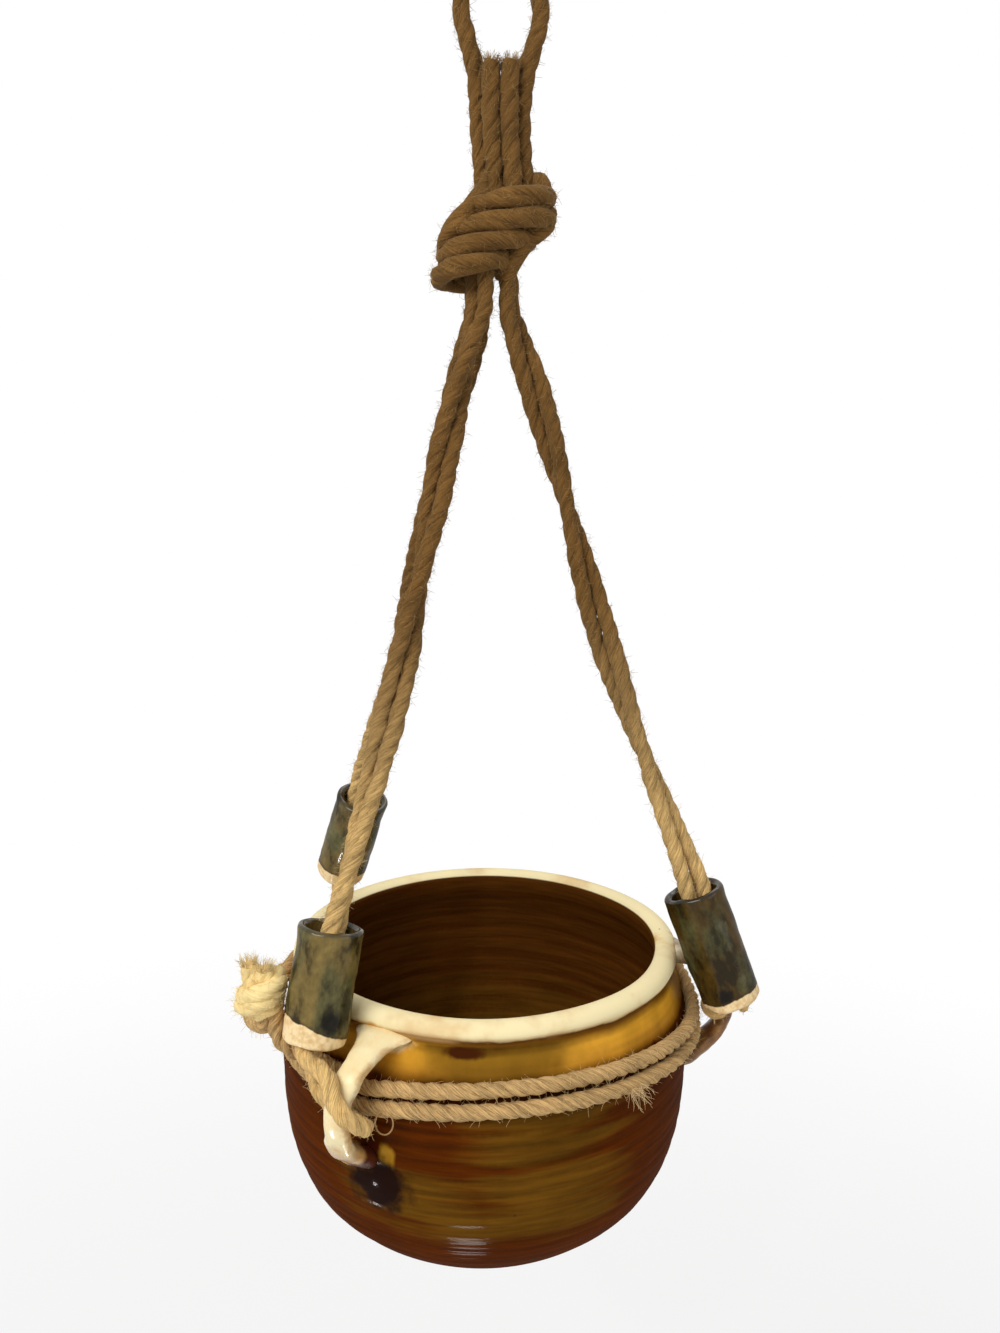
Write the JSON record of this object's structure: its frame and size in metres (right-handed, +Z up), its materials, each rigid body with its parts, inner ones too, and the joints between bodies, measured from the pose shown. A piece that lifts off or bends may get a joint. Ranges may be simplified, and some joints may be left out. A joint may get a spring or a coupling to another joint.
{
  "type": "hanging planter",
  "caption": "Round-bellied glazed stoneware planter with looped lugs and loose clay tubes, hung from knotted jute legs that end in a hanging loop, with a jute girdle tied round the shoulder.",
  "frame": {"origin": "the point of the hook inside the crown of the hanging loop, on the bowl's axis", "axes": "+Z up along the bowl's axis, +X to the lug called right, +Y away from the side where the front_left lug is"},
  "size_m": [0.1927, 0.1752, 0.455],
  "materials": {
    "glazed_stoneware": "glossy olive-brown glaze, amber shoulder, cream rim",
    "cream_stoneware": "cream glaze over bare clay",
    "dark_glazed_clay": "mottled dark green-grey glaze with bare clay ends",
    "jute": "rough twisted natural fibre"
  },
  "bodies": {
    "loop": {"loop_strand_front": "jute", "loop_strand_back": "jute"},
    "knot": {"top_knot": "jute", "cord_tail_left": "jute", "cord_tail_right": "jute"},
    "hanger": {"pot_body": "glazed_stoneware", "lug_front_left": "cream_stoneware", "lug_right": "cream_stoneware", "lug_back_left": "cream_stoneware", "leg_cord_front_left": "jute", "leg_cord_right": "jute", "leg_cord_back_left": "jute", "girdle_cord": "jute", "girdle_knot": "jute"},
    "bead_front_left": {"tube_front_left": "dark_glazed_clay"},
    "bead_right": {"tube_right": "dark_glazed_clay"},
    "bead_back_left": {"tube_back_left": "dark_glazed_clay"}
  },
  "joints": [
    {"name": "swing", "type": "hinge", "parent": "loop", "child": "knot", "pos_m": [0, 0, -0.036], "axis": [0, 1, 0], "range_deg": [-30, 30], "deforming": ["loop_strand_front", "loop_strand_back"]},
    {"name": "twist", "type": "hinge", "parent": "knot", "child": "hanger", "pos_m": [0, 0, -0.1045], "axis": [0, 0, 1], "range_deg": [-90, 90], "stiffness_Nm_per_rad": 0.023},
    {"name": "slide_front_left", "type": "slide", "parent": "hanger", "child": "bead_front_left", "axis": [0.2035, 0.2453, 0.9478], "range_m": [0, 0.15]},
    {"name": "slide_right", "type": "slide", "parent": "hanger", "child": "bead_right", "axis": [-0.3182, 0.0798, 0.9447], "range_m": [0, 0.15]},
    {"name": "slide_back_left", "type": "slide", "parent": "hanger", "child": "bead_back_left", "axis": [0.2401, -0.232, 0.9426], "range_m": [0, 0.15]}
  ]
}
